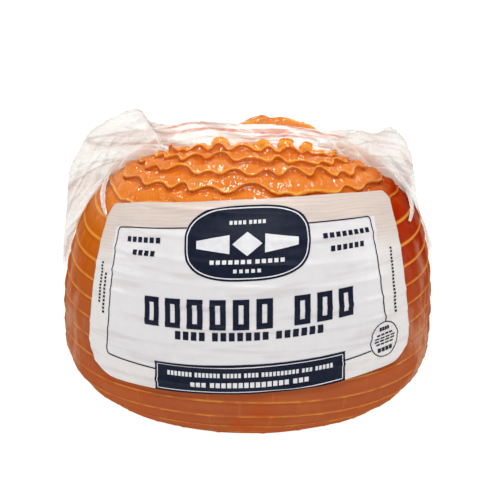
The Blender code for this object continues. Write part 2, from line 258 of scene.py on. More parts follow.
def net_draws():
    """Each ring's uneven scallops: a reach for every scallop, and the places where they meet."""
    draws = np.random.default_rng(SEED)
    size = (LAST_RING + 2, SCALLOPS)
    return draws.uniform(0.55, 1.45, size), np.arange(SCALLOPS) + draws.uniform(-0.28, 0.28, size)


SCALLOP_SIZE, SCALLOP_MEETS = net_draws()


def scallop_wave(angle, ring):
    """Rise of one ring's lip in shares of its reach: uneven round arches with short low turns."""
    meets = np.append(SCALLOP_MEETS[ring], SCALLOP_MEETS[ring, 0] + SCALLOPS)
    size = SCALLOP_SIZE[ring] * (0.4 + 0.6 * np.diff(meets))
    turn = angle / (2 * math.pi) * SCALLOPS - SCALLOP_CROWD * np.sin(2 * angle) + 0.5 * (ring % 2)
    turn = (turn - meets[0]) % SCALLOPS + meets[0]
    place = np.interp(turn, meets, np.arange(SCALLOPS + 1.0))
    wave = np.full_like(place, -0.5)
    for shift in (-SCALLOP_TURN, 0.0, SCALLOP_TURN):
        here = (place + shift) % SCALLOPS
        cell = np.minimum(here.astype(int), SCALLOPS - 1)
        wave += np.sin(math.pi * np.clip(here - cell, 0.0, 1.0)) * size[cell] / 3
    return wave


def front_section(side, turn):
    """Front profile in the upright plane at a side share: depth and height at a profile angle."""
    lower = turn < 0
    cosine, sine = np.cos(turn), np.abs(np.sin(turn))
    wide = np.where(lower, cosine ** (2 / ROUND_LOWER), cosine ** (2 / ROUND_UPPER))
    below = WAIST - WAIST / CUT_SHARE * sine ** (2 / ROUND_LOWER)
    above = WAIST + (HEIGHT - WAIST) * sine ** (2 / ROUND_UPPER)
    depth = np.clip(wide ** ROUND_PLAN - side ** ROUND_PLAN, 0.0, 1.0) ** (1 / ROUND_PLAN)
    return -HALF_DEPTH * depth, np.where(lower, below, above)


def front_point(x, slant_height):
    """Point of the dome's front at a given X and a given height in the slanted view."""
    side = np.abs(x) / HALF_WIDTH
    low = np.full_like(x, -math.asin(CUT_SHARE ** (ROUND_LOWER / 2)))
    high = np.full_like(x, math.pi / 2)
    for _ in range(40):
        middle = (low + high) / 2
        y, z = front_section(side, middle)
        above = z * math.cos(LABEL_SLANT) + y * math.sin(LABEL_SLANT) > slant_height
        high = np.where(above, middle, high)
        low = np.where(above, low, middle)
    y, z = front_section(side, (low + high) / 2)
    return np.stack([x, y, z], -1)


def arc_at(point):
    """Arc length above the floor edge of the ring line through a point of the dome."""
    x, y, z = (point[..., axis] for axis in range(3))
    low, high = np.full_like(x, 1e-4), np.ones_like(x)
    for _ in range(40):
        share = (low + high) / 2
        wide = share + CROWN_LINE * (1.0 - share) ** CROWN_SPREAD
        reach = (np.abs(x / HALF_WIDTH) / wide) ** ROUND_PLAN + np.abs(y / HALF_DEPTH / share) ** ROUND_PLAN
        outside = reach > 1.0
        low, high = np.where(outside, share, low), np.where(outside, high, share)
    upper = np.interp(1.0 - share, 1.0 - SHARE[ARC >= ARC_WAIST], ARC[ARC >= ARC_WAIST])
    return np.where(z > WAIST, upper, np.interp(z, LEVEL, ARC))


def label_base(across, up):
    """Dome point under a place on the flat paper, and the direction out of the dome there."""
    share = up / LABEL_HEIGHT
    curl = LABEL_CURL_FOOT + (LABEL_CURL_TOP - LABEL_CURL_FOOT) * share
    x = LABEL_SHIFT - LABEL_LEAN * (up - LABEL_HEIGHT / 2) + curl * np.sin(across / curl)
    sag = LABEL_SAG * (1.0 - share) * (1.0 - np.cos(across / curl))
    slant_height = LABEL_FOOT + LABEL_RISE * up + sag + LABEL_TURN * x
    small = 0.3 * MM
    here = front_point(x, slant_height)
    over = front_point(x, slant_height + small) - front_point(x, slant_height - small)
    beside = front_point(x + small, slant_height) - front_point(x - small, slant_height)
    return here, unit(np.cross(beside, over))


def label_half_width(up, corner_foot):
    """Half the paper's width at a height on it, less its rounded corners."""
    half = np.full_like(up, LABEL_WIDTH / 2)
    for corner, from_edge in ((corner_foot, up), (LABEL_CORNER_TOP, LABEL_HEIGHT - up)):
        inside = np.clip(corner - from_edge, 0.0, corner)
        half -= corner - np.sqrt(corner ** 2 - inside ** 2)
    return half


def label_across(rows, columns):
    """Places across the paper on each row; the right foot corner is tighter than the left one."""
    left, right = (label_half_width(rows, corner) for corner in LABEL_CORNERS_FOOT)
    return np.where(columns < 0.0, np.outer(left, columns), np.outer(right, columns))


def film_root(x, z):
    """Where the line from the ham's middle to a point of the film's edge leaves the ham's side profile."""
    turn = np.linspace(0.0, math.pi, 2000)
    sight = np.arctan2(x, z - FILM_MIDDLE)
    side = -HALF_WIDTH * signed_power(np.cos(turn), 2 / ROUND_UPPER)
    level = WAIST + (HEIGHT - WAIST) * np.sin(turn) ** (2 / ROUND_UPPER)
    bearing = np.arctan2(side, level - FILM_MIDDLE)
    root_x, root_z = np.interp(sight, bearing, side), np.interp(sight, bearing, level)
    return np.stack([root_x, np.full_like(root_x, -0.01 * MM), root_z], -1)


def smooth_line(points, count):
    """Even samples of a smooth curve through the given points."""
    points = np.asarray(points, float)
    padded = np.vstack([2 * points[0] - points[1], points, 2 * points[-1] - points[-2]])
    place = np.linspace(0.0, len(points) - 1.0, count)
    first = np.minimum(place.astype(int), len(points) - 2)
    part = (place - first)[:, None]
    before, start, end, after = (padded[first + step] for step in range(4))
    return 0.5 * (2 * start + (end - before) * part + (2 * before - 5 * start + 4 * end - after) * part ** 2
                  + (3 * start - before - 3 * end + after) * part ** 3)


def new_object(name, data):
    made = bpy.data.objects.new(name, data)
    bpy.context.scene.collection.objects.link(made)
    return made


def new_piece(name, points, faces, material):
    mesh = bpy.data.meshes.new(name)
    mesh.from_pydata(np.asarray(points).reshape(-1, 3).tolist(), [], faces)
    mesh.update()
    mesh.shade_smooth()
    mesh.materials.append(material)
    return new_object(name, mesh)


def point_values(made, name, values):
    """Stores one number at each point for the materials to read."""
    layer = made.data.attributes.new(name, "FLOAT", "POINT")
    layer.data.foreach_set("value", np.asarray(values, np.float32).ravel())


def grid_faces(rows, columns, first=0):
    """Faces of an open grid, row after row."""
    start = first + (np.arange(rows - 1)[:, None] * columns + np.arange(columns - 1)[None]).ravel()
    return np.stack([start, start + 1, start + columns + 1, start + columns], -1).tolist()


def sheet_faces(rows, columns):
    """Faces of a sheet's two sides and rim, its back points following its front points."""
    side = rows * columns
    front = np.array(grid_faces(rows, columns))
    rim = list(range(columns))
    rim += [row * columns + columns - 1 for row in range(1, rows)]
    rim += [(rows - 1) * columns + column for column in range(columns - 2, -1, -1)]
    rim += [row * columns for row in range(rows - 2, 0, -1)]
    edge = [(second, first, side + first, side + second) for first, second in zip(rim, rim[1:] + rim[:1])]
    return front.tolist() + (front[:, ::-1] + side).tolist() + edge


# Meat
FOOT_WAYS = (0.5, 0.62, 0.75, 0.86, 0.94)
FLOOR_ROWS = 14
DRIFT_CELLS = 36
DRIFT_REACH = 0.9
GATHER_CELLS = 132
GATHER_RISE = 0.52 * MM
FOLD_CELLS = 54
FOLD_RISE = 0.95 * MM
DENT_CELLS = 22
DENT_PITCH = 14.0 * MM
DENT_DEPTH = 0.5 * MM
SWELL_CELLS = 64
SWELL_SHARE = 0.2
WOBBLE_CELLS = 68
LIP_WOBBLE = 0.95 * MM
FADE_CELLS = 31
CORD_FADE = 0.7
UPRIGHT_CORDS = 24
UPRIGHT_COLUMNS = 1.4
UPRIGHT_RISE = 0.2 * MM
UPRIGHT_RINGS = (11.0, 5.0)
UPRIGHT_COLOUR = 0.55
LOOP_RISE = 2.4 * MM
LOOP_LEAN = 1.2 * MM
LOOP_DEPTH = 8.0 * MM
LOOP_BACK = 1.5 * MM
LOOP_ARCH = (-0.35, 0.40)
LOOP_ENDS = (0.55, 0.85)
LOOP_END_LOSS = 0.7
# the loops' cord colour, as distances below the crown's line: where it starts, is full, fades and ends
LOOP_RIM = (2.9 * MM, 2.1 * MM, 0.9 * MM, 0.0)
CROWN_RISE = LIP_CROWN / 3
CROWN_COLOUR = 0.2


def meat_rows():
    """Each row of the mesh: ring, way to the next lip, share of the crown's form, climb, rise and cord."""
    next_lip = np.array(PILLOW[0]) + np.array([1.0, 1.0, 0.0, 0.0, 1.0, 0.0, 0.0])
    table = np.vstack([np.array(PILLOW), next_lip])
    places = [(0, way) for way in FOOT_WAYS]
    places += [(ring, entry[0]) for ring in range(1, LAST_RING + 1) for entry in PILLOW]
    places = np.array([place for place in places if sum(place) < RING_TOP - 0.04])
    ring, way = places[:, :1], places[:, 1:]
    top = smooth_step(np.interp(ring + way, RING, ARC), *LIP_CHANGE)
    columns = [np.interp(way, table[:, 0], table[:, number]) for number in range(1, 7)]
    climb, rise, cord = (side + (high - side) * top for high, side in zip(columns[:3], columns[3:]))
    return ring, way, top, climb, rise, cord


def net_noise(cell, row, cells, step, drift=0.0):
    """Seeded noise that closes round the ham, with so many cells to a turn."""
    return random_field(cell * cells + drift, row + 0 * cell, cells, SEED + step)


def waves_beside(ring, waves):
    """The scallops of the lips below and above each row."""
    number = ring[:, 0].astype(int)
    return waves[number], waves[np.minimum(number + 1, LAST_RING + 1)]


def scalloped_arcs(ring, way, top, climb, cell, waves):
    """Arc length of every point: the rows follow the scallops of the lips beside them."""
    below, above = waves_beside(ring, waves)
    share = np.minimum(way / 0.93, 1.0)
    wave = (1.0 - share) * below + share * above
    reach = SCALLOP_REACH * top * smooth_step(RING_TOP - ring - way, 0.0, 1.2)
    reach = reach * (1.0 + SCALLOP_GROWTH * smooth_step(ring + way, LAST_RING - 3.0, LAST_RING - 1.0))
    wobble = net_noise(cell, 1.7 * np.round(ring + way), WOBBLE_CELLS, 2)
    lip = smooth_step(np.abs(way - 0.5), 0.3, 0.45)
    arcs = np.interp(ring + climb, RING, ARC)
    room = 0.6 * (ARC_TOP - arcs) + 0.01 * MM
    arcs = arcs + room * np.tanh((reach * wave + LIP_WOBBLE * top * lip * wobble) / room)
    return np.clip(arcs, 0.0, ARC_TOP)


def pillow_relief(ring, way, top, rise, cord, arcs, cell, waves):
    """How far lips, pillows, gathers, folds and dents stand out from the smooth dome."""
    below, above = waves_beside(ring, waves)
    held = smooth_step(ring + way, 0.4, 1.0)
    height = lip_height(arcs)
    belly = np.sin(math.pi * np.clip((way - 0.08) / 0.86, 0.0, 1.0))
    drift = DRIFT_REACH * net_noise(cell, 0.9 * (ring + way), DRIFT_CELLS, 8)
    gathers = net_noise(cell, 0.7 * ring + 1.1 * way, GATHER_CELLS, 9, drift)
    folds = net_noise(cell, 1.3 * ring + 1.4 * way, FOLD_CELLS, 10, drift)
    dents = net_noise(cell, arcs / DENT_PITCH, DENT_CELLS, 3)
    swell = net_noise(cell, 1.7 * ring, SWELL_CELLS, 4)
    lift = SCALLOP_LIFT * smooth_step(arcs, *LIFT_CHANGE) * held
    out = height * rise * held
    out = out + lift * smooth_step(1.0 - 2.5 * way, 0.0, 1.0) * (below + 0.5)
    out = out + lift * smooth_step(2.5 * way - 1.5, 0.0, 1.0) * (above + 0.5)
    out = out + GATHER_RISE * (0.6 - 2.0 * np.abs(gathers)) * belly * (0.12 + 0.88 * top)
    out = out + FOLD_RISE * (0.5 - 1.6 * np.abs(folds)) * belly * top
    out = out - DENT_DEPTH * (0.5 + 0.5 * dents) * held
    return out + SWELL_SHARE * height * cord * swell


def upright_cords(ring, way, cell):
    """Shares of the short upright cords between the rings, set like bricks, low on the ham."""
    held = smooth_step(ring + way, 0.4, 1.0)
    turn = cell * UPRIGHT_CORDS + 0.5 * (np.floor(ring + way) % 2)
    aside = np.minimum(turn % 1.0, 1.0 - turn % 1.0) * MEAT_COLUMNS / UPRIGHT_CORDS
    return np.clip(1.0 - aside / UPRIGHT_COLUMNS, 0.0, 1.0) * held * smooth_step(ring + way, *UPRIGHT_RINGS)


def meat_faces(rows, first_crown):
    """Faces between the rows, and those that close the crown on its middle line."""
    column = np.arange(MEAT_COLUMNS)
    beside = (column + 1) % MEAT_COLUMNS
    start = np.arange(rows - 1)[:, None] * MEAT_COLUMNS
    sides = [start + column, start + beside, start + MEAT_COLUMNS + beside, start + MEAT_COLUMNS + column]
    last = (rows - 1) * MEAT_COLUMNS
    far = first_crown + np.minimum(column + 1, MEAT_COLUMNS - column - 1)
    near = first_crown + np.minimum(column, MEAT_COLUMNS - column)
    cap = np.stack([last + column, last + beside, far, near], -1)
    return np.stack(sides, -1).reshape(-1, 4).tolist() + cap.tolist()


def add_cut_face(points):
    """The points with the flat cut face added as ever smaller rings, and the faces of it."""
    column = np.arange(MEAT_COLUMNS)
    beside = (column + 1) % MEAT_COLUMNS
    rim = points[:MEAT_COLUMNS]
    shrink = 1.0 - np.arange(1, FLOOR_ROWS) / FLOOR_ROWS
    inner = rim[None] * np.stack([shrink, shrink, np.ones_like(shrink)], -1)[:, None]
    first = len(points)
    points = np.concatenate([points, inner.reshape(-1, 3), [[0.0, 0.0, rim[:, 2].mean()]]])
    lines = [column] + [first + step * MEAT_COLUMNS + column for step in range(FLOOR_ROWS - 1)]
    pairs = zip(lines, lines[1:])
    floor = [np.stack([line[beside], line, inside, inside[beside]], -1) for line, inside in pairs]
    floor = np.concatenate(floor).tolist()
    floor += [(int(lines[-1][beside[step]]), int(lines[-1][step]), len(points) - 1) for step in column]
    return points, floor


def make_meat(skin, cut):
    """The netted meat: pillows between the rings, each with a rolled lip that hangs over the one below."""
    ring, way, top, climb, rise, cord = meat_rows()
    angles = np.arange(MEAT_COLUMNS) * 2 * math.pi / MEAT_COLUMNS
    cell = (angles / (2 * math.pi))[None]
    waves = np.array([scallop_wave(angles, number) for number in range(LAST_RING + 2)])
    arcs = scalloped_arcs(ring, way, top, climb, cell, waves)
    upright = upright_cords(ring, way, cell)
    out = pillow_relief(ring, way, top, rise, cord, arcs, cell, waves) + UPRIGHT_RISE * upright
    body = above_dome(angles[None] + 0 * arcs, arcs, out)

    # where the last lip arches, the meat stands up in a loop before the film
    arch = smooth_step(waves[LAST_RING], *LOOP_ARCH)
    arch = arch * (1.0 - LOOP_END_LOSS * smooth_step(np.abs(np.cos(angles)), *LOOP_ENDS))
    loops = arch * smooth_step(arcs, ARC_TOP - LOOP_DEPTH, ARC_TOP - LOOP_BACK)
    body[..., 2] += LOOP_RISE * loops
    body[..., 1] -= LOOP_LEAN * loops
    half = MEAT_COLUMNS // 2
    crown = dome_point(angles[:half + 1], np.full(half + 1, ARC_TOP))
    loops = arch[-np.arange(half + 1) % MEAT_COLUMNS]
    crown[:, 2] += CROWN_RISE + LOOP_RISE * loops
    crown[:, 1] -= LOOP_LEAN * loops

    first_crown = body.size // 3
    sides = meat_faces(len(ring), first_crown)
    points, floor = add_cut_face(settle(np.concatenate([body.reshape(-1, 3), crown])))
    made = new_piece("ham_meat", points, sides + floor, skin)
    made.data.materials.append(cut)
    slots = np.zeros(len(made.data.polygons), np.int32)
    slots[len(sides):] = 1
    made.data.polygons.foreach_set("material_index", slots)

    fade = net_noise(cell, 0.9 * np.round(ring + way), FADE_CELLS, 13)
    start, full, fading, end = (ARC_TOP - depth for depth in LOOP_RIM)
    rim = smooth_step(arcs, start, full) * smooth_step(arcs, end, fading)
    strand = np.maximum(cord * (1.0 - CORD_FADE * top * smooth_step(fade, 0.1, -0.4)), rim)
    rest = np.zeros(len(points) - first_crown)
    strand = np.maximum(strand, UPRIGHT_COLOUR * upright)
    point_values(made, "strand", np.append(strand, rest + CROWN_COLOUR))
    # painted shade on each crown pillow just below the lip above it
    hollow_shade = top * smooth_step(way, 0.62, 0.9) * np.ones((1, MEAT_COLUMNS))
    point_values(made, "hollow_shade", np.append(hollow_shade, rest))
    return made


# Paper label
PAPER_THICK = 0.22 * MM
PAPER_SINK = 0.12 * MM
WRINKLE_RISE = 0.80 * MM
WRINKLE_WIDTH = 0.13
WRINKLE_PATCH = 17.0 * MM
WRINKLE_FLAT = (42.0 * MM, 60.0 * MM)
CRINKLE_RISE = 0.10 * MM
# noise cells to the left of the label's middle, enough that no cell number falls below nought
CELLS_LEFT = 30


def paper_point(across, up, lift):
    """Point on the label's printed side, wrinkled over the rings of the ham."""
    base, normal = label_base(across, up)
    arc = arc_at(base)
    ring = np.interp(arc, ARC, RING)
    beside = ring - np.floor(ring)
    ridge = np.exp(-((np.minimum(beside, 1.0 - beside)) / WRINKLE_WIDTH) ** 2)
    patch = random_field(across / WRINKLE_PATCH + CELLS_LEFT, np.round(ring) * 1.37, 61, SEED + 5)
    strength = (0.65 + 0.5 * patch) * (1.0 - 0.6 * smooth_step(np.abs(across), *WRINKLE_FLAT))
    coarse = random_field(across / (9 * MM) + CELLS_LEFT, up / (2.3 * MM), 61, SEED + 6)
    fine = random_field(across / (3.1 * MM) + 3 * CELLS_LEFT, up / (3.7 * MM), 187, SEED + 7)
    crinkle = coarse + 0.5 * fine
    height = lip_height(arc) + CLEARANCE + LABEL_THICK - PAPER_SINK
    height = height + WRINKLE_RISE * (ridge - 0.35) * strength + CRINKLE_RISE * crinkle + lift
    return settle(base + normal * height[..., None])


def make_paper(finish):
    """The label's sheet; its rows lie closer together at the head and the foot."""
    rows = LABEL_HEIGHT / 2 * (1.0 - np.cos(np.linspace(0.0, math.pi, PAPER_ROWS)))
    rows = 0.6 * rows + 0.4 * np.linspace(0.0, LABEL_HEIGHT, PAPER_ROWS)
    columns = np.linspace(-1.0, 1.0, PAPER_COLUMNS)
    across = label_across(rows, columns)
    up = rows[:, None] - LABEL_DIP * (1.0 - columns ** 2) * (rows[:, None] / LABEL_HEIGHT) ** 4
    sides = [paper_point(across, up, lift).reshape(-1, 3) for lift in (0.0, -PAPER_THICK)]
    made = new_piece("label_paper", np.concatenate(sides), sheet_faces(PAPER_ROWS, PAPER_COLUMNS), finish)
    point_values(made, "paper_across", np.tile(across.ravel() / MM, 2))
    point_values(made, "paper_up", np.tile(up.ravel() / MM, 2))
    return made


# Print: every shape is a thin patch that follows the paper
class Ink:
    """Gathers patches of one colour into one piece."""

    def __init__(self, lift):
        self.lift = lift
        self.points = []
        self.faces = []
        self.count = 0

    def grid(self, across, up):
        rows, columns = across.shape
        placed = paper_point(across, up, self.lift).reshape(-1, 3)
        self.points.append(placed)
        self.faces += grid_faces(rows, columns, self.count)
        self.count += len(placed)

    def block(self, left, right, foot, head):
        """An upright rectangle, in millimetres on the paper."""
        columns = max(2, int(math.ceil((right - left) * MM / PRINT_CELL)) + 1)
        rows = max(2, int(math.ceil((head - foot) * MM / PRINT_CELL)) + 1)
        across, up = np.meshgrid(np.linspace(left, right, columns), np.linspace(foot, head, rows))
        self.grid(across * MM, up * MM)

    def stroke(self, path, width, closed=False):
        """A line of even width along a path of (across, up) millimetres."""
        path = np.asarray(path, float)
        if closed:
            path = np.vstack([path, path[:1]])
        length = np.concatenate([[0.0], np.cumsum(np.hypot(*np.diff(path, axis=0).T))])
        count = max(2, int(length[-1] * MM / (PRINT_CELL * 0.8)) + 1)
        place = np.linspace(0.0, length[-1], count)
        line = np.stack([np.interp(place, length, path[:, axis]) for axis in (0, 1)], -1)
        along = np.gradient(line, axis=0)
        if closed:
            along[0] = along[-1] = line[1] - line[-2]
        along = unit(along)
        out = np.stack([-along[:, 1], along[:, 0]], -1) * width / 2
        edges = np.stack([line + out, line, line - out])
        self.grid(edges[..., 0] * MM, edges[..., 1] * MM)

    def oval(self, middle, half_width, half_height, power):
        """A filled rounded plaque."""
        turn = np.linspace(0.0, 2 * math.pi, 121)
        rings = np.linspace(0.02, 1.0, max(3, int(half_height * MM / PRINT_CELL) + 4))
        side = half_width * signed_power(np.cos(turn), 2 / power)
        rise = half_height * signed_power(np.sin(turn), 2 / power)
        self.grid((middle[0] + np.outer(rings, side)) * MM, (middle[1] + np.outer(rings, rise)) * MM)

    def shape(self, across, half_height, rows):
        """A shape on the plaque's middle line, as high at each place as half_height says."""
        share = np.linspace(-1.0, 1.0, rows)[:, None]
        self.grid((PLAQUE[0] + across * np.ones_like(share)) * MM, (PLAQUE[1] + share * half_height) * MM)

    def piece(self, name, finish):
        return new_piece(name, np.concatenate(self.points), self.faces, finish)


def oval_path(middle, half_width, half_height, power=2.0):
    turn = np.linspace(0.0, 2 * math.pi, 160, endpoint=False)
    return np.stack([
        middle[0] + half_width * signed_power(np.cos(turn), 2 / power),
        middle[1] + half_height * signed_power(np.sin(turn), 2 / power),
    ], -1)


def round_corner(corner, before, after, radius):
    """Points of a rounded corner between two neighbours."""
    corner, before, after = (np.asarray(point, float) for point in (corner, before, after))
    start = corner + (before - corner) / np.linalg.norm(before - corner) * radius
    end = corner + (after - corner) / np.linalg.norm(after - corner) * radius
    share = np.linspace(0.0, 1.0, 6)[:, None]
    return (1 - share) ** 2 * start + 2 * share * (1 - share) * corner + share ** 2 * end


def block_row(ink, start, end, foot, head, groups, gap, space=1.0, wall=None):
    """A row of plain blocks in groups; with a wall they are open boxes."""
    units = sum(groups) + gap * sum(group - 1 for group in groups) + space * (len(groups) - 1)
    unit = (end - start) / units
    at = start
    for group in groups:
        for _ in range(group):
            if wall is None:
                ink.block(at, at + unit, foot, head)
            else:
                ink.block(at, at + wall, foot, head)
                ink.block(at + unit - wall, at + unit, foot, head)
                for level in (foot, head - wall):
                    ink.block(at + wall, at + unit - wall, level, level + wall)
            at += unit * (1 + gap)
        at += unit * (space - gap)


# The label's design, in millimetres across and up on the paper
FRAME_LEFT = ((-22.0, 65.3), (-54.9, 64.9), (-56.6, 9.6), (-34.5, 8.2))
FRAME_RIGHT = ((22.0, 65.0), (50.6, 65.2), (55.2, 18.6))
FRAME_FOOT = ((37.1, 8.0), (48.2, 8.5))
FRAME_CORNER = 2.0
FRAME_LINE = 0.5
PLAQUE = (0.4, 58.6)
PLAQUE_HALF = (23.2, 14.2)
PLAQUE_ROUND = 2.9
PLAQUE_BORDER = 1.0
BAND = (-34.5, 37.1, -0.1, 11.8)
BAND_BORDER = (-33.5, 36.1, 0.8, 10.8)
# start, end, foot, head, groups, gap, space and wall of each row of blocks
NAVY_ROWS = (
    (-38.7, 40.6, 25.8, 37.4, (6, 3), 0.42, 1.3, 2.1),
    (-26.3, 28.4, 21.3, 24.6, (4, 7, 6), 0.45, 1.3),
    (-48.8, -32.8, 58.9, 61.2, (6,), 0.45),
    (-45.0, -35.0, 53.4, 55.7, (4,), 0.45),
    (28.5, 49.2, 58.2, 60.5, (8,), 0.45),
    (31.7, 46.4, 52.8, 55.1, (6,), 0.45),
)
PALE_ROWS = (
    (-6.1, 6.9, 66.0, 67.4, (4, 4), 0.5),
    (-13.1, 13.9, 51.0, 52.6, (7, 5), 0.5),
    (-4.6, 5.4, 47.6, 49.0, (5,), 0.7),
    (-29.5, 32.0, 6.6, 8.4, (7, 7, 5, 4, 10, 3, 5), 0.42, 1.2),
    (-20.5, 23.0, 2.7, 4.6, (3, 14, 3), 0.35),
)
# upright dotted lines: place across, foot, head and number of dots
DOTTED = ((-59.3, 26.0, 44.0, 11), (-61.9, 30.0, 48.5, 13), (60.2, 21.0, 50.0, 19))
DOT_HALF = 0.55
DOT_SHARE = 0.62
MARK = (54.3, 11.6)
MARK_HALF = (6.3, 7.0)
# rows in the round mark: rise, half width and height
MARK_ROWS = (
    (4.4, 2.2, 1.5), (2.2, 3.7, 0.6), (0.9, 4.6, 0.6),
    (-0.4, 4.6, 0.6), (-1.7, 3.9, 0.6), (-4.1, 3.3, 1.6),
)
LOZENGE_HALF = (5.4, 4.6)
# tapering bars beside the lozenge: near and far end, and half the height at each
BAR_ENDS = (6.4, 18.6)
BAR_HALF = (3.6, 1.5)


def print_navy(finish):
    """The frame, plaque, band, rows, dotted lines and round mark in dark ink."""
    ink = Ink(PRINT_LIFT)
    for path in (FRAME_LEFT, FRAME_RIGHT):
        line = [path[0]]
        for before, corner, after in zip(path, path[1:], path[2:]):
            line += list(round_corner(corner, before, after, FRAME_CORNER))
        line.append(path[-1])
        ink.stroke(line, FRAME_LINE)
    ink.stroke(FRAME_FOOT, FRAME_LINE)
    ink.oval(PLAQUE, *PLAQUE_HALF, PLAQUE_ROUND)
    ink.block(*BAND)
    for row in NAVY_ROWS:
        block_row(ink, *row)
    for place, foot, head, count in DOTTED:
        step = (head - foot) / count
        for number in range(count):
            low = foot + number * step
            ink.block(place - DOT_HALF, place + DOT_HALF, low, low + DOT_SHARE * step)
    ink.stroke(oval_path(MARK, *MARK_HALF), 0.4, closed=True)
    for rise, half, tall in MARK_ROWS:
        middle = MARK[1] + rise
        block_row(ink, MARK[0] - half, MARK[0] + half, middle - tall / 2, middle + tall / 2, (4,), 0.25)
    return ink.piece("label_print", finish)


def print_pale(finish):
    """The pale borders, rows, lozenge and tapering bars on top of the dark ink."""
    ink = Ink(PRINT_LIFT * 1.8)
    inner = [half - PLAQUE_BORDER for half in PLAQUE_HALF]
    ink.stroke(oval_path(PLAQUE, *inner, PLAQUE_ROUND), 0.42, closed=True)
    left, right, foot, head = BAND_BORDER
    ink.stroke([(left, foot), (right, foot), (right, head), (left, head)], 0.3, closed=True)
    for side in (-1, 1):
        across = side * np.linspace(*BAR_ENDS, 17)
        ink.shape(across, np.linspace(*BAR_HALF, 17), 9)
    across = np.linspace(-LOZENGE_HALF[0], LOZENGE_HALF[0], 19)
    ink.shape(across, LOZENGE_HALF[1] * (1.0 - np.abs(across) / LOZENGE_HALF[0]), 13)
    for row in PALE_ROWS:
        block_row(ink, *row)
    return ink.piece("label_print_pale", finish)


# The bag's loose film
CREASES = ((15.0, 1.30, 4), (8.0, 0.70, 4), (4.2, 0.22, 3))
CREASE_SCALE = 0.50
CREASE_WIDTH = 0.38
CREASE_SPREAD = 0.28
FRAY = 0.014
FIN_RIM = 0.05
TUCK_ROWS = 90
TUCK_COLUMNS = 14
# narrow tucks of film that lie on the ham's shoulders: (angle in degrees, arc in mm) points and a width
TUCKS = (
    (((172.0, 110.0), (183.0, 106.0), (194.0, 103.0), (203.0, 100.5), (210.0, 98.0)), 7.5),
    (((370.0, 110.0), (366.0, 105.0), (358.0, 100.0), (350.0, 97.0), (342.5, 95.0)), 8.0),
)


def crease_field(along, across, seed):
    """Crumpled film in millimetres: its height, and its ridge and hollow lines, where highlight and shade
    are painted, from folds that run along the fin.
    """
    draws = np.random.default_rng(seed)
    height, ridge, hollow_shade = np.zeros_like(along), np.zeros_like(along), np.zeros_like(along)
    for pitch, rise, folds in CREASES:
        for _ in range(folds):
            turn = draws.normal(0.0, CREASE_SPREAD)
            shift, bend = draws.uniform(0.0, 1.0), draws.uniform(0.3, 0.9)
            first, second = (int(draws.integers(1, 9999)) for _ in range(2))
            warp = random_field(along / (pitch * 3.0), across / (pitch * 1.5) + 20, 97, first)
            local = random_field(along / (pitch * 2.6), across / (pitch * 1.2) + 20, 97, second)
            local = smooth_step(local, -0.1, 0.4)
            place = (along * math.sin(turn) + across * math.cos(turn)) / pitch + shift + bend * warp
            part = place - np.floor(place)
            height += rise * local * (np.abs(part - 0.5) * 2.0 - 0.5)
            weight = local * (0.35 + 0.65 * rise / CREASES[0][1])
            hollow_shade += weight * np.exp(-(np.abs(part - 0.5) * pitch / CREASE_WIDTH) ** 2)
            ridge += weight * np.exp(-(np.minimum(part, 1.0 - part) * pitch / CREASE_WIDTH) ** 2)
    return height * CREASE_SCALE, np.clip(ridge, 0.0, 1.0), np.clip(hollow_shade, 0.0, 1.0)


def make_tuck(path, width, seed):
    """A narrow fold of film that runs out over the ham's shoulder: its points and its fold height."""
    line = smooth_line(np.array(path), TUCK_ROWS)
    angle, arc = np.radians(line[:, 0]), line[:, 1] * MM
    mean_radius = (HALF_WIDTH + HALF_DEPTH) / 2
    along = unit(np.stack([np.gradient(angle) * mean_radius, np.gradient(arc)], -1))
    place = np.linspace(0.0, 1.0, TUCK_ROWS)
    half = width / 2 * MM * (1.0 - 0.85 * place ** 0.8)
    side = np.linspace(-1.0, 1.0, TUCK_COLUMNS)
    ragged = 0.25 * line_noise(place, 17, seed)
    offset = half[:, None] * (side[None] + ragged[:, None])
    angles = angle[:, None] - along[:, 1:] * offset / mean_radius
    arcs = arc[:, None] + along[:, :1] * offset
    drift = line_noise(place, 5, seed + 1)
    fold = np.abs((side[None] * 1.5 + 0.6 * drift[:, None]) % 1.0 - 0.5)
    lift = lip_height(arcs) * 0.9 + (0.35 + 1.5 * fold * (1.0 - side[None] ** 2)) * MM
    return settle(above_dome(angles, arcs, lift)), fold


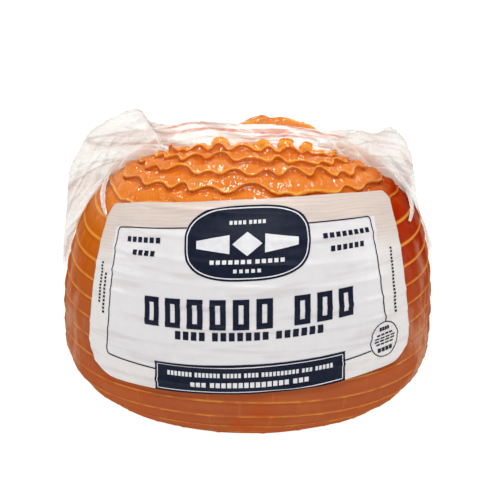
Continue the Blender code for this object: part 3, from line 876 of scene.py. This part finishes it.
def fin_sheet():
    """The fin's middle surface, places on it in millimetres, its ridge lines for painted highlights, its
    hollow lines and rim for painted shade, and its lying share.
    """
    edge = smooth_line(np.array(FILM_EDGE_MM) * MM, FIN_COLUMNS)
    x, z = edge[:, 0], edge[:, 1]
    dome = film_root(x - LEAN * (z - LEAN_START), z)
    out = unit(np.stack([x, np.zeros_like(x), z - FILM_MIDDLE], -1))
    lift = lip_height(arc_at(dome)) * 0.4
    root = settle(dome + out * lift[..., None])
    lying = 1.0 - smooth_step(np.abs(x), *FILM_LYING)
    back = FILM_LEAN_BACK * lying
    tip = np.stack([x, back, z - back * math.tan(LABEL_SLANT)], -1)
    place = np.linspace(0.0, 1.0, FIN_COLUMNS)
    shares = np.linspace(0.0, 1.0, FIN_ROWS)
    fray = FRAY * (line_noise(place, 190, SEED + 21, 190) + line_noise(place, 61, SEED + 20))
    sheet = root[None] + (tip - root)[None] * (shares[:, None] * (1.0 - 1.5 * FRAY + fray[None]))[..., None]
    steps = np.linalg.norm(np.diff((root + tip) / 2, axis=0), axis=1)
    along = np.concatenate([[0.0], np.cumsum(steps)]) / MM * np.ones((FIN_ROWS, 1))
    across = shares[:, None] * np.linalg.norm(tip - root, axis=1) / MM
    ripple = np.sin(2 * math.pi * (FILM_FOLDS * place[None] + 0.6 * shares[:, None]))
    ends = np.sin(math.pi * place) ** 0.5
    sheet[..., 1] += FILM_RIPPLE * ripple * (0.15 + 0.85 * shares[:, None]) * ends
    height, ridge, hollow_shade = crease_field(along, across, SEED + 22)
    sheet[..., 1] += height * MM * (0.2 + 0.8 * smooth_step(shares, 0.0, 0.3)[:, None])
    rim = smooth_step(shares, 1.0 - FIN_RIM, 1.0)[:, None]
    return sheet, along, across, ridge, np.maximum(hollow_shade, 0.8 * rim), lying[None] * np.ones((FIN_ROWS, 1))


def make_fin(finish):
    """The bag's loose end: a finely crumpled sheet over the crown with an ear and a tuck at each end."""
    sheet, *places = fin_sheet()
    normal = np.cross(np.gradient(sheet, axis=1), np.gradient(sheet, axis=0))
    normal /= np.linalg.norm(normal, axis=-1, keepdims=True) + 1e-12
    points = [(sheet + side * normal * FIN_THICK / 2).reshape(-1, 3) for side in (-1, 1)]
    faces = sheet_faces(FIN_ROWS, FIN_COLUMNS)
    names = ("fin_along", "fin_across", "fin_ridge_highlight", "fin_hollow_shade", "fin_middle")
    values = {name: [np.tile(part.ravel(), 2)] for name, part in zip(names, places)}
    count = 2 * FIN_ROWS * FIN_COLUMNS
    for number, (path, width) in enumerate(TUCKS):
        tuck, fold = make_tuck(path, width, SEED + 30 + 2 * number)
        points.append(tuck.reshape(-1, 3))
        faces += grid_faces(TUCK_ROWS, TUCK_COLUMNS, count)
        count += fold.size
        row, column = np.meshgrid(np.arange(TUCK_ROWS), np.arange(TUCK_COLUMNS), indexing="ij")
        parts = (0.4 * row, 0.5 * column, smooth_step(fold, 0.3, 0.5), smooth_step(fold, 0.2, 0.0),
                 np.full(fold.shape, 0.4))
        for name, part in zip(names, parts):
            values[name].append(part.ravel())
    made = new_piece("bag_fin", np.concatenate(points), faces, finish)
    for name, parts in values.items():
        point_values(made, name, np.concatenate(parts))
    return made


# Materials
class Value:
    """A shader socket that adds and multiplies like a number."""

    def __init__(self, socket):
        self.socket = socket
        self.tree = socket.id_data

    def __add__(self, other):
        return combine("ADD", self, other)

    def __mul__(self, other):
        return combine("MULTIPLY", self, other)


def add(tree, kind, **settings):
    node = tree.nodes.new(kind)
    for key, value in settings.items():
        setattr(node, key, value)
    return node


def feed(node, values):
    """Sets a node's inputs, by name or number, to numbers, vectors or colours, or links values to them."""
    for name, value in values.items():
        socket = node.inputs[name]
        if isinstance(value, Value):
            value.tree.links.new(value.socket, socket)
        elif socket.type == "RGBA":
            socket.default_value = (*value, 1.0)
        else:
            socket.default_value = value


def by_name(sockets):
    return {socket.name: Value(socket) for socket in sockets}


def new_material(name):
    material = bpy.data.materials.new(name)
    material.use_nodes = True
    tree = material.node_tree
    return material, tree, tree.nodes["Principled BSDF"]


def attribute(tree, name):
    return Value(add(tree, "ShaderNodeAttribute", attribute_name=name).outputs["Fac"])


def combine(operation, first, second, clamp=False):
    node = add(first.tree, "ShaderNodeMath", operation=operation, use_clamp=clamp)
    feed(node, {0: first, 1: second})
    return Value(node.outputs[0])


def blend(share, first, second):
    """Mix of two colours by a share."""
    node = add(share.tree, "ShaderNodeMix", data_type="RGBA")
    feed(node, {0: share, 6: first, 7: second})
    return Value(node.outputs[2])


def ramp(value, low, high):
    node = add(value.tree, "ShaderNodeMapRange", interpolation_type="SMOOTHSTEP")
    feed(node, {"Value": value, "From Min": low, "From Max": high})
    return Value(node.outputs["Result"])


def object_place(tree):
    return Value(add(tree, "ShaderNodeTexCoord").outputs["Object"])


def axes(tree):
    """The object's own three coordinates."""
    split = add(tree, "ShaderNodeSeparateXYZ")
    feed(split, {0: object_place(tree)})
    return [Value(socket) for socket in split.outputs]


def flat_place(tree, first, second):
    """A place on a sheet, from two values stored at its points."""
    join = add(tree, "ShaderNodeCombineXYZ")
    feed(join, {0: attribute(tree, first), 1: attribute(tree, second)})
    return Value(join.outputs[0])


def new_group(name, inputs, outputs):
    """A shader group with named sockets: its tree, the values given to it and its last node."""
    group = bpy.data.node_groups.new(name, "ShaderNodeTree")
    for label, kind, value in inputs:
        socket = group.interface.new_socket(label, in_out="INPUT", socket_type="NodeSocket" + kind)
        socket.default_value = value
    for label, kind in outputs:
        group.interface.new_socket(label, in_out="OUTPUT", socket_type="NodeSocket" + kind)
    return group, by_name(add(group, "NodeGroupInput").outputs), add(group, "NodeGroupOutput")


def group_noise(group, given):
    """Noise inside a group, driven by its own sockets."""
    fit = add(group, "ShaderNodeVectorMath", operation="MULTIPLY")
    feed(fit, {0: given["Place"], 1: given["Stretch"]})
    node = add(group, "ShaderNodeTexNoise")
    feed(node, {"Vector": Value(fit.outputs[0])})
    feed(node, {name: given[name] for name in ("Scale", "Detail", "Roughness")})
    return Value(node.outputs["Fac"])


NOISE_SOCKETS = (
    ("Place", "Vector", (0.0, 0.0, 0.0)),
    ("Stretch", "Vector", (1.0, 1.0, 1.0)),
    ("Scale", "Float", 100.0),
    ("Detail", "Float", 3.0),
    ("Roughness", "Float", 0.5),
)


def make_uneven_tone():
    """Group: two colours mixed in uneven patches, and the share of the second."""
    group, given, last = new_group("uneven_tone", NOISE_SOCKETS + (
        ("Low", "Float", 0.35),
        ("High", "Float", 0.65),
        ("Amount", "Float", 1.0),
        ("First", "Color", (0.8, 0.8, 0.8, 1.0)),
        ("Second", "Color", (0.5, 0.5, 0.5, 1.0)),
    ), (("Colour", "Color"), ("Share", "Float")))
    share = ramp(group_noise(group, given), given["Low"], given["High"]) * given["Amount"]
    feed(last, {"Colour": blend(share, given["First"], given["Second"]), "Share": share})
    return group


def make_fine_relief():
    """Group: a surface direction roughened by fine noise."""
    group, given, last = new_group("fine_relief", NOISE_SOCKETS + (
        ("Depth", "Float", 0.0001),
        ("Strength", "Float", 0.5),
    ), (("Normal", "Vector"),))
    node = add(group, "ShaderNodeBump")
    noise = group_noise(group, given)
    feed(node, {"Height": noise, "Distance": given["Depth"], "Strength": given["Strength"]})
    feed(last, {"Normal": Value(node.outputs["Normal"])})
    return group


UNEVEN_TONE = make_uneven_tone()
FINE_RELIEF = make_fine_relief()


def use(tree, group, place=None, **values):
    """One use of a shader group with its own values; the outputs by name."""
    node = add(tree, "ShaderNodeGroup", node_tree=group)
    feed(node, {"Place": place or object_place(tree), **values})
    return by_name(node.outputs)


def relief(tree, scale, depth, strength, **values):
    """A surface direction from one use of the fine relief group."""
    return use(tree, FINE_RELIEF, Scale=scale, Depth=depth, Strength=strength, **values)["Normal"]


MEAT_LOW = (0.38, 0.088, 0.030)
MEAT_SIDE_LEFT = (0.46, 0.098, 0.002)
MEAT_SIDE_RIGHT = (0.31, 0.012, 0.001)
MEAT_TOP = (0.70, 0.178, 0.010)
MEAT_PALE = (0.74, 0.31, 0.09)
# the deep meat colour, used for its darker patches and for the painted shade under the lips
MEAT_DEEP_AND_SHADE = (0.46, 0.060, 0.004)
# pale colour for the painted sheen of the bag's film at the ham's ends
MEAT_FILM_SHEEN = (0.66, 0.42, 0.29)
CORD_TOP = (0.84, 0.37, 0.035)
CORD_SIDE = (0.66, 0.27, 0.040)
CUT_LEAN = (0.62, 0.22, 0.17)
CUT_PALE = (0.74, 0.40, 0.32)


def meat_skin():
    material, tree, shader = new_material("smoked_skin")
    aside, _, rise = axes(tree)
    top = ramp(rise + ramp(aside, 0.026, 0.066) * -0.016, 0.075, 0.092)
    low = ramp(rise, 0.078, 0.038)
    side = blend(ramp(aside, -0.04, 0.05), MEAT_SIDE_LEFT, MEAT_SIDE_RIGHT)
    base = blend(top, blend(low, side, MEAT_LOW), MEAT_TOP)
    tone = use(tree, UNEVEN_TONE, Scale=70.0, Detail=5.0, Roughness=0.6, Low=0.40, High=0.75,
               Amount=top * 0.24 + 0.08, First=base, Second=MEAT_PALE)
    tone = use(tree, UNEVEN_TONE, Scale=60.0, Detail=4.0, Low=0.50, High=0.74,
               Amount=top * -0.25 + 0.5, First=tone["Colour"], Second=MEAT_DEEP_AND_SHADE)
    # painted shade below each lip on the crown, in the deep meat colour
    base = blend(attribute(tree, "hollow_shade") * 0.5, tone["Colour"], MEAT_DEEP_AND_SHADE)
    # painted sheen: pale flecks at the ham's two ends stand for glints on the bag's film there
    end = ramp(combine("ABSOLUTE", aside, 0.0), 0.055, 0.072) * ramp(rise, 0.088, 0.066) * 0.5
    film_sheen = use(tree, UNEVEN_TONE, Scale=95.0, Detail=5.0, Roughness=0.65, Stretch=(1.0, 1.0, 0.45),
                Low=0.44, High=0.66, Amount=end, First=base, Second=MEAT_FILM_SHEEN)
    # low on the ham the cords lie thin and broken under the film
    broken = use(tree, UNEVEN_TONE, Scale=120.0, Detail=2.0, Low=0.42, High=0.60)
    weak = low * (broken["Share"] * 0.50 + 0.20)
    strand = ramp(attribute(tree, "strand"), low * 0.35, 1.0) * (weak * -1.0 + 0.85)
    ripple = add(tree, "ShaderNodeTexNoise")
    feed(ripple, {"Vector": object_place(tree), "Scale": 250.0, "Detail": 1.5})
    wet = add(tree, "ShaderNodeBump")
    feed(wet, {"Height": Value(ripple.outputs["Fac"]), "Distance": 0.0016, "Strength": 0.85})
    feed(shader, {
        "Base Color": blend(strand, film_sheen["Colour"], blend(top, CORD_SIDE, CORD_TOP)),
        "Roughness": 0.5,
        "Specular IOR Level": 0.0,
        "Coat Weight": top * 0.9,
        "Coat Roughness": 0.04,
        "Normal": relief(tree, 620.0, 0.0018, top * 0.65 + 0.1, Stretch=(1.0, 0.4, 0.4)),
        "Coat Normal": Value(wet.outputs["Normal"]),
    })
    return material


def meat_cut():
    material, tree, shader = new_material("cut_meat")
    tone = use(tree, UNEVEN_TONE, Scale=45.0, Detail=6.0, Roughness=0.65, Stretch=(1.0, 2.2, 1.0),
               Low=0.35, High=0.70, First=CUT_LEAN, Second=CUT_PALE)
    feed(shader, {"Base Color": tone["Colour"], "Roughness": 0.35})
    return material


PAPER_WARM = (0.615, 0.515, 0.45)
PAPER_COOL = (0.67, 0.65, 0.66)
PAPER_EDGE = (0.68, 0.65, 0.63)
PAPER_GRAIN = (0.54, 0.43, 0.38)
PAPER_SHADE = (0.46, 0.41, 0.40)
PAPER_SPECK = (0.45, 0.42, 0.42)


def paper_finish():
    material, tree, shader = new_material("label_paper_finish")
    across, up = attribute(tree, "paper_across"), attribute(tree, "paper_up")
    place = flat_place(tree, "paper_across", "paper_up")
    side = combine("ABSOLUTE", across + 1.8, 0.0)
    inside = ramp(side, 55.6, 54.8) * ramp(up, 65.4, 64.8) * ramp(up, 8.0, 9.2)
    head = ramp(up, 46.0, 62.0)
    lines = add(tree, "ShaderNodeTexWave", wave_type="BANDS", bands_direction="Y")
    feed(lines, {"Vector": place, "Scale": 0.20, "Distortion": 6.5, "Detail Scale": 0.28, "Detail": 1.2})
    drawn = ramp(Value(lines.outputs["Fac"]), 0.78, 0.97) * (head * 0.62 + 0.08)
    margin = blend(head, PAPER_EDGE, PAPER_WARM)
    base = blend(inside, blend(drawn, margin, PAPER_GRAIN), PAPER_COOL)
    tone = use(tree, UNEVEN_TONE, Scale=260.0, Detail=4.0, Low=0.3, High=0.8, Amount=0.12,
               First=base, Second=PAPER_SPECK)
    # soft painted shade along the paper's creases
    crease_shade = use(tree, UNEVEN_TONE, place, Stretch=(0.030, 0.20, 1.0), Scale=1.0, Detail=2.5, Roughness=0.5,
                 Low=0.50, High=0.68, Amount=0.34, First=tone["Colour"], Second=PAPER_SHADE)
    feed(shader, {
        "Base Color": crease_shade["Colour"],
        "Roughness": 0.42,
        "Coat Weight": 0.25,
        "Coat Roughness": 0.2,
        "Normal": relief(tree, 700.0, 0.00008, 0.6),
    })
    return material


# the two tones of each ink
INK_DARK = ((0.003, 0.006, 0.018), (0.008, 0.012, 0.028))
INK_PALE = ((0.70, 0.70, 0.71), (0.62, 0.62, 0.64))


def ink_finish(name, tones):
    material, tree, shader = new_material(name)
    tone = use(tree, UNEVEN_TONE, Scale=420.0, Low=0.2, High=0.8, First=tones[0], Second=tones[1])
    feed(shader, {
        "Base Color": tone["Colour"],
        "Roughness": 0.45,
        "Specular IOR Level": 0.1,
        "Normal": relief(tree, 700.0, 0.00006, 0.5),
    })
    return material


FILM_CLEAR = (0.80, 0.79, 0.70)
FILM_MILKY = (0.92, 0.89, 0.85)
FILM_OVER_MEAT = (0.88, 0.80, 0.75)
FILM_STREAK = (0.70, 0.29, 0.20)
# painted shade for the film's crease hollows and painted highlight for its crease ridges
FILM_HOLLOW_SHADE = (0.42, 0.42, 0.40)
FILM_RIDGE_HIGHLIGHT = (0.96, 0.96, 0.96)


def film_finish():
    material, tree, shader = new_material("crumpled_film")
    ridge, hollow_shade, middle = (attribute(tree, name) for name in ("fin_ridge_highlight", "fin_hollow_shade", "fin_middle"))
    place = flat_place(tree, "fin_along", "fin_across")
    tone = use(tree, UNEVEN_TONE, place, Stretch=(0.05, 0.30, 1.0), Scale=1.0, Detail=3.0, Roughness=0.5,
               Low=0.34, High=0.62, First=FILM_CLEAR, Second=FILM_MILKY)
    tinted = blend(middle * 0.75, tone["Colour"], FILM_OVER_MEAT)
    streak = use(tree, UNEVEN_TONE, place, Stretch=(0.028, 0.62, 1.0), Scale=1.0, Detail=4.0, Roughness=0.55,
                 Low=0.50, High=0.60, Amount=middle, First=tinted, Second=FILM_STREAK)
    # painted shade along the film's crease hollows and its rim
    base = blend(hollow_shade * 0.36, streak["Colour"], FILM_HOLLOW_SHADE)
    alpha = tone["Share"] * 0.20 + 0.30 + middle * 0.40
    alpha = combine("ADD", alpha, combine("MAXIMUM", ridge, hollow_shade) * 0.40, clamp=True)
    # the fin's lower ends fade into the film that lies on the ham
    aside, _, rise = axes(tree)
    rise = rise + ramp(aside, -0.01, 0.01) * -0.010
    feed(shader, {
        # painted highlights along the film's crease ridges, fainter over the meat
        "Base Color": blend(ridge * (middle * -0.45 + 0.7), base, FILM_RIDGE_HIGHLIGHT),
        "Roughness": 0.35,
        "Coat Weight": middle * -0.3 + 0.4,
        "Coat Roughness": 0.08,
        "Alpha": alpha * ramp(rise, 0.045, 0.057),
        "Normal": relief(tree, 340.0, 0.0008, 0.36, Detail=3.0),
    })
    return material


# Floor, light and camera
def make_floor():
    mesh = bpy.data.meshes.new("floor")
    reach = 3.0
    corners = [(-reach, -reach, 0), (reach, -reach, 0), (reach, reach, 0), (-reach, reach, 0)]
    mesh.from_pydata(corners, [], [(0, 1, 2, 3)])
    floor = new_object("floor", mesh)
    material, _, shader = new_material("pale_floor")
    feed(shader, {
        "Base Color": (0.16, 0.16, 0.16),
        "Roughness": 0.9,
        "Specular IOR Level": 0.0,
        "Emission Color": (1.0, 1.0, 1.0),
        "Emission Strength": 0.98,
    })
    mesh.materials.append(material)


# name, place, size and power of each softbox
LIGHTS = (
    ("softbox_front", (0.05, -0.52, 0.92), (0.26, 0.18), 5.2),
    ("softbox_over", (-0.05, 0.30, 0.87), (0.045, 0.50), 2.9),
    ("softbox_left", (-0.75, -0.25, 0.35), (0.15, 0.4), 1.3),
    ("softbox_right", (0.75, -0.25, 0.40), (0.15, 0.4), 1.3),
)


def make_light(name, place, size, watts):
    data = bpy.data.lights.new(name, "AREA")
    data.shape = "RECTANGLE"
    data.size, data.size_y = size
    data.energy = watts
    lamp = new_object(name, data)
    lamp.location = place
    lamp.rotation_euler = (CAMERA_TARGET - Vector(place)).to_track_quat("-Z", "Y").to_euler()


CAMERA_RISE = math.radians(25.0)
CAMERA_TURN = math.radians(2.0)
CAMERA_ROLL = math.radians(-1.0)
CAMERA_DISTANCE = 0.700
CAMERA_TARGET = Vector((0.0, 0.0, 0.050))
PIXELS_PER_MM = 2.52
PICTURE = 500
TARGET_PIXEL = (248.5, 270.5)


def make_camera():
    back = Vector((math.sin(CAMERA_TURN) * math.cos(CAMERA_RISE),
                   -math.cos(CAMERA_TURN) * math.cos(CAMERA_RISE), math.sin(CAMERA_RISE)))
    level = Vector((math.cos(CAMERA_TURN), math.sin(CAMERA_TURN), 0.0))
    upright = back.cross(level)
    right = level * math.cos(CAMERA_ROLL) - upright * math.sin(CAMERA_ROLL)
    up = level * math.sin(CAMERA_ROLL) + upright * math.cos(CAMERA_ROLL)
    data = bpy.data.cameras.new("camera")
    data.sensor_width = 36.0
    data.lens = data.sensor_width * PIXELS_PER_MM * CAMERA_DISTANCE / MM / PICTURE
    data.shift_x = (PICTURE / 2 - TARGET_PIXEL[0]) / PICTURE
    data.shift_y = (TARGET_PIXEL[1] - PICTURE / 2) / PICTURE
    camera = new_object("camera", data)
    place = CAMERA_TARGET + back * CAMERA_DISTANCE
    turned = Matrix((right, up, back)).transposed().to_4x4()
    camera.matrix_world = Matrix.Translation(place) @ turned
    bpy.context.scene.camera = camera


def make_world():
    world = bpy.data.worlds.new("studio")
    world.use_nodes = True
    background = world.node_tree.nodes["Background"]
    background.inputs["Color"].default_value = (1.0, 1.0, 1.0, 1.0)
    background.inputs["Strength"].default_value = 0.38
    bpy.context.scene.world = world
    bpy.context.scene.view_settings.view_transform = "Standard"
    bpy.context.scene.view_settings.look = "None"


make_camera()
make_world()
make_floor()
for light in LIGHTS:
    make_light(*light)

meat = make_meat(meat_skin(), meat_cut())
paper = make_paper(paper_finish())
navy_print = print_navy(ink_finish("dark_ink", INK_DARK))
pale_print = print_pale(ink_finish("pale_ink", INK_PALE))
fin = make_fin(film_finish())

for piece, node, slot in (
    (meat, "ham", "ham"),
    (paper, "label", "label"),
    (navy_print, "label", "label"),
    (pale_print, "label", "label"),
    (fin, "bag_film", "bag_film"),
):
    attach(piece, "root")
    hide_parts(node)

bpy.context.view_layer.update()
